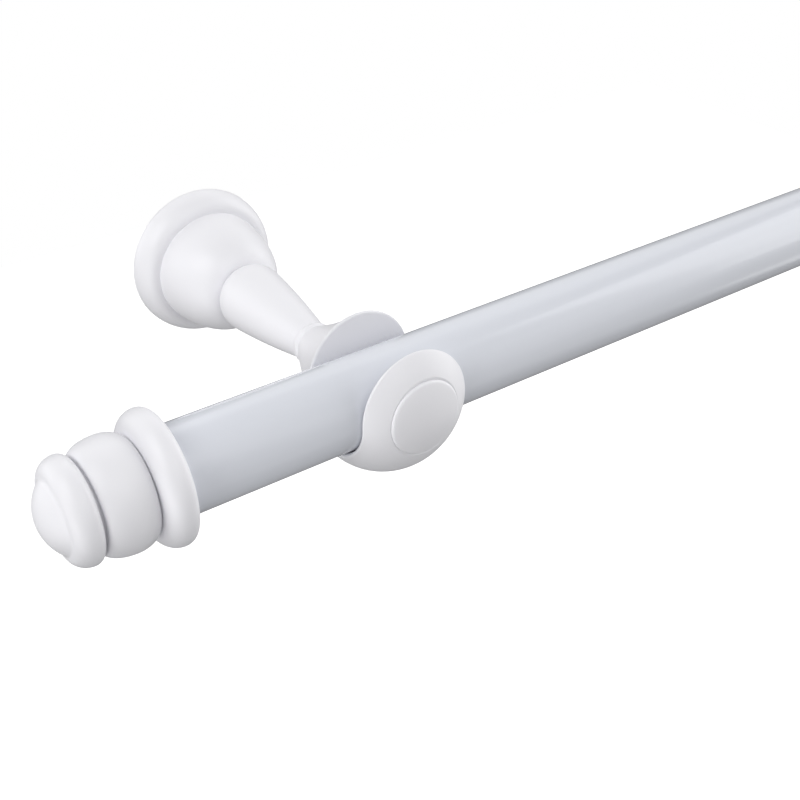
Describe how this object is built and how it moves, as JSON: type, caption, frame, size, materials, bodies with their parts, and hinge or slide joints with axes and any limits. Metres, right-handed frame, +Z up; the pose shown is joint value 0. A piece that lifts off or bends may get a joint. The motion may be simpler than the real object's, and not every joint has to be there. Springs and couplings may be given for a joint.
{
  "type": "curtain rod",
  "caption": "Round curtain rod resting in ball-shaped open holders on tapered arms with round wall rosettes, with a turned finial that pushes into each end of the tube.",
  "frame": {"origin": "on the wall plane, midway between the two brackets, on the axis height of their arms", "axes": "+X along the rod to the right as seen from the room, +Y into the wall, +Z up"},
  "size_m": [1.0784, 0.1462, 0.055],
  "materials": {
    "rod_paint": "satin",
    "white_plastic": "satin",
    "plug_plastic": "matt",
    "plate_steel": "zinc plated",
    "screw_steel": "zinc plated"
  },
  "bodies": {
    "frame": {"rod_tube": "rod_paint", "left_wall_plate": "plate_steel", "left_rosette": "white_plastic", "left_stem": "white_plastic", "left_holder": "white_plastic", "left_tie_screw": "screw_steel", "left_button_cap": "white_plastic", "right_wall_plate": "plate_steel", "right_rosette": "white_plastic", "right_stem": "white_plastic", "right_holder": "white_plastic", "right_tie_screw": "screw_steel", "right_button_cap": "white_plastic"},
    "left_end": {"left_finial": "white_plastic", "left_finial_plug": "plug_plastic", "left_finial_screw": "screw_steel"},
    "right_end": {"right_finial": "white_plastic", "right_finial_plug": "plug_plastic", "right_finial_screw": "screw_steel"},
    "left_lock": {"left_lock_screw": "screw_steel"},
    "right_lock": {"right_lock_screw": "screw_steel"}
  },
  "joints": [
    {"name": "left_finial_pull", "type": "slide", "parent": "frame", "child": "left_end", "axis": [-1, 0, 0], "range_m": [0, 0.022]},
    {"name": "right_finial_pull", "type": "slide", "parent": "frame", "child": "right_end", "axis": [1, 0, 0], "range_m": [0, 0.022]},
    {"name": "left_lock_travel", "type": "slide", "parent": "frame", "child": "left_lock", "axis": [0, 0, -1], "range_m": [0, 0.003]},
    {"name": "right_lock_travel", "type": "slide", "parent": "frame", "child": "right_lock", "axis": [0, 0, -1], "range_m": [0, 0.003]}
  ]
}
